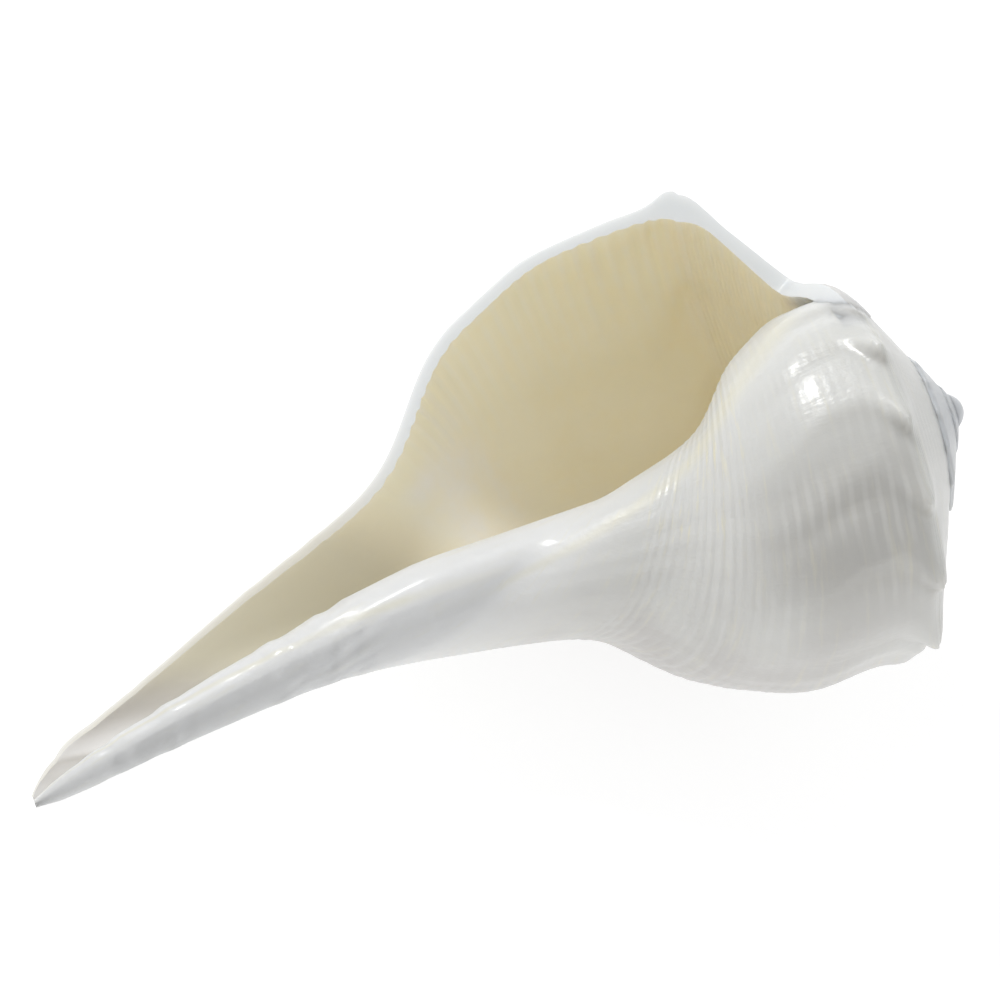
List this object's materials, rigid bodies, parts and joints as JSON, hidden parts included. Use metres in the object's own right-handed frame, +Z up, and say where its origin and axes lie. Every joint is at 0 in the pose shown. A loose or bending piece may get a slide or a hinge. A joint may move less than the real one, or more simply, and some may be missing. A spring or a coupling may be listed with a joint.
{
  "type": "whelk shell",
  "caption": "Left-handed whelk shell, a conch to sellers: knobbed shoulder, low spire, wide ribbed mouth and a long open canal, lying on its back.",
  "frame": {"origin": "centre of the footprint, on the surface the shell lies on", "axes": "+Z up, out of the mouth; +X along the length, from the canal's tip to the spire, seen from above; +Y towards the outer lip"},
  "size_m": [0.1726, 0.0968, 0.0819],
  "materials": {
    "shell": "glossy off-white shell with fine ribs, warm beige inside the mouth and a pale polished lip edge"
  },
  "bodies": {
    "root": {"shell": "shell"}
  },
  "joints": []
}
